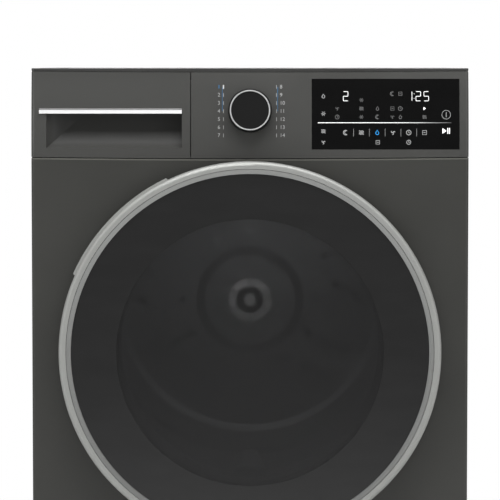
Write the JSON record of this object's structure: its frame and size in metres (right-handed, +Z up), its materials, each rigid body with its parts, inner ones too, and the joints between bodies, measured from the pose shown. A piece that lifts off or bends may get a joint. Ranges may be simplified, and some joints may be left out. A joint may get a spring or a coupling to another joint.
{
  "type": "clothes dryer",
  "caption": "Free-standing front-loading heat-pump tumble dryer with round glass door, control fascia with dial, and pull-out condensate tank drawer.",
  "frame": {"origin": "on the floor under the middle of the whole machine, door included", "axes": "+Z up, +X to the right seen from the front, -Y out of the front towards the user"},
  "size_m": [0.597, 0.65, 0.846],
  "materials": {
    "worktop": "satin",
    "cabinet_paint": "satin grey",
    "zinc_sheet": "galvanised",
    "fascia_plastic": "fine satin grey",
    "display_glass": "gloss black",
    "black_plastic": "satin black",
    "grey_plastic": "moulded grey",
    "silver_trim": "satin silver",
    "door_glass": "tinted",
    "bowl_glass": "clear",
    "rubber": "matt",
    "felt": "felt",
    "steel": "satin",
    "aluminium": "plain",
    "cast": "black enamel",
    "copper": "copper"
  },
  "bodies": {
    "root": {"worktop": "worktop", "side_panel_left": "cabinet_paint", "side_panel_right": "cabinet_paint", "rear_panel": "zinc_sheet", "rear_duct_cover": "grey_plastic", "front_panel": "cabinet_paint", "kick_plate": "cabinet_paint", "control_fascia": "fascia_plastic", "display_window": "display_glass", "fascia_bracket": "zinc_sheet", "control_module": "black_plastic", "tank_bay": "grey_plastic", "door_catch": "black_plastic", "hinge_bracket": "steel", "door_gasket": "rubber", "front_bulkhead": "grey_plastic", "front_drum_seal": "felt", "rear_drum_seal": "felt", "drive_belt": "black_plastic", "motor": "aluminium", "fan_housing": "grey_plastic", "base_tray": "grey_plastic", "heat_exchanger_cover": "grey_plastic", "evaporator": "aluminium", "condenser": "aluminium", "compressor": "cast", "refrigerant_pipes": "copper", "condensate_pump": "black_plastic", "condensate_hose": "rubber", "drain_spigot": "grey_plastic", "mains_inlet": "black_plastic"},
    "door": {"door_ring": "silver_trim", "door_trim_ring": "silver_trim", "door_window": "door_glass", "door_frame": "black_plastic", "door_bowl": "bowl_glass", "door_hook": "black_plastic", "door_hinge_pins": "steel"},
    "tank": {"tank_front": "fascia_plastic", "tank_handle_strip": "silver_trim", "tank_body": "grey_plastic"},
    "dial": {"dial_knob": "black_plastic", "dial_ring": "silver_trim"},
    "drum": {"drum_shell": "steel", "drum_back": "steel", "drum_paddles": "grey_plastic", "drum_shaft": "steel"},
    "rotor": {"motor_shaft": "steel", "fan_impeller": "black_plastic"},
    "tensioner": {"tension_arm": "black_plastic"},
    "idler": {"idler_pulley": "black_plastic"},
    "roller_left": {"roller_left": "black_plastic"},
    "roller_right": {"roller_right": "black_plastic"},
    "lint_filter": {"lint_filter": "grey_plastic"},
    "service_flap": {"service_flap": "cabinet_paint"},
    "cover_lock": {"cover_lock": "grey_plastic"},
    "foot_front_left": {"foot_front_left": "rubber"},
    "foot_front_right": {"foot_front_right": "rubber"},
    "foot_rear_left": {"foot_rear_left": "rubber"},
    "foot_rear_right": {"foot_rear_right": "rubber"}
  },
  "joints": [
    {"name": "door_hinge", "type": "hinge", "parent": "root", "child": "door", "pos_m": [0.243, -0.308, 0.46], "axis": [0, 0, 1], "range_deg": [0, 130]},
    {"name": "tank_slide", "type": "slide", "parent": "root", "child": "tank", "axis": [0, -1, 0], "range_m": [0, 0.44]},
    {"name": "dial_turn", "type": "hinge", "parent": "root", "child": "dial", "pos_m": [0, -0.28163, 0.7875], "axis": [0, -0.9944, 0.1058], "continuous": true},
    {"name": "drum_spin", "type": "hinge", "parent": "root", "child": "drum", "pos_m": [0, 0, 0.485], "axis": [0, 1, 0], "continuous": true},
    {"name": "motor_spin", "type": "hinge", "parent": "root", "child": "rotor", "pos_m": [0.175, 0, 0.13], "axis": [0, 1, 0], "continuous": true},
    {"name": "tensioner_swing", "type": "hinge", "parent": "root", "child": "tensioner", "pos_m": [0.06, 0, 0.118], "axis": [0, 1, 0], "range_deg": [0, 12], "stiffness_Nm_per_rad": 6, "springref_deg": -20.05},
    {"name": "idler_spin", "type": "hinge", "parent": "tensioner", "child": "idler", "pos_m": [0.118, 0, 0.142], "axis": [0, 1, 0], "continuous": true},
    {"name": "roller_left_spin", "type": "hinge", "parent": "root", "child": "roller_left", "pos_m": [-0.15315, 0, 0.21974], "axis": [0, 1, 0], "continuous": true},
    {"name": "roller_right_spin", "type": "hinge", "parent": "root", "child": "roller_right", "pos_m": [0.15315, 0, 0.21974], "axis": [0, 1, 0], "continuous": true},
    {"name": "filter_slide", "type": "slide", "parent": "root", "child": "lint_filter", "axis": [0, 0, 1], "range_m": [0, 0.15]},
    {"name": "flap_hinge", "type": "hinge", "parent": "root", "child": "service_flap", "pos_m": [-0.16, -0.2785, 0.0316], "axis": [1, 0, 0], "range_deg": [0, 85]},
    {"name": "lock_turn", "type": "hinge", "parent": "root", "child": "cover_lock", "pos_m": [-0.165, -0.263, 0.067], "axis": [0, -1, 0], "range_deg": [0, 90]},
    {"name": "foot_front_left_screw", "type": "slide", "parent": "root", "child": "foot_front_left", "axis": [0, 0, -1], "range_m": [0, 0.01]},
    {"name": "foot_front_right_screw", "type": "slide", "parent": "root", "child": "foot_front_right", "axis": [0, 0, -1], "range_m": [0, 0.01]},
    {"name": "foot_rear_left_screw", "type": "slide", "parent": "root", "child": "foot_rear_left", "axis": [0, 0, -1], "range_m": [0, 0.01]},
    {"name": "foot_rear_right_screw", "type": "slide", "parent": "root", "child": "foot_rear_right", "axis": [0, 0, -1], "range_m": [0, 0.01]}
  ],
  "couplings": [
    {"joint": "motor_spin", "follows": "drum_spin", "ratio": 31.556},
    {"joint": "idler_spin", "follows": "drum_spin", "ratio": -18.933},
    {"joint": "roller_left_spin", "follows": "drum_spin", "ratio": -12.909},
    {"joint": "roller_right_spin", "follows": "drum_spin", "ratio": -12.909}
  ]
}
